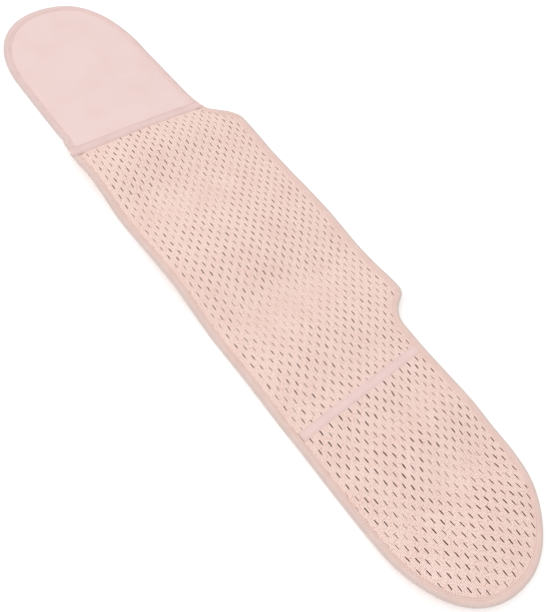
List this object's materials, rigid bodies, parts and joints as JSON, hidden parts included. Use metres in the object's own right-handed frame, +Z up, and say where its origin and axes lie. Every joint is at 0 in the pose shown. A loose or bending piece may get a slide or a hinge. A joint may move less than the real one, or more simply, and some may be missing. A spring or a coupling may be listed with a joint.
{
  "type": "postpartum belly band",
  "caption": "Long soft wrap band lying open: smooth rounded fastening tongue, wide slit-perforated belly panel narrowing to a rounded tail, bound edges and sewn cross tapes.",
  "frame": {"origin": "on the ground below the middle of the lying band, half way along and half way across", "axes": "+X along the band towards the rounded perforated tail, +Y across it towards the wide shaped edge, +Z up out of the face that the picture shows"},
  "size_m": [0.9514, 0.243, 0.0164],
  "materials": {
    "tongue_cloth": "smooth brushed knit, light satin sheen, pale pink",
    "panel_cloth": "matt fine knit over a thin foam core, pale peach pink",
    "tongue_binding_tape": "ribbed folded edge tape, pale pink",
    "body_binding_tape": "ribbed folded edge tape, peach pink",
    "sewn_tape": "flat woven ribbon with a faint sheen, mauve pink"
  },
  "bodies": {
    "root": {"fastening_tongue": "tongue_cloth", "perforated_panel": "panel_cloth", "tongue_binding": "tongue_binding_tape", "body_binding": "body_binding_tape", "join_tape": "sewn_tape", "tail_tape": "sewn_tape"}
  },
  "joints": []
}
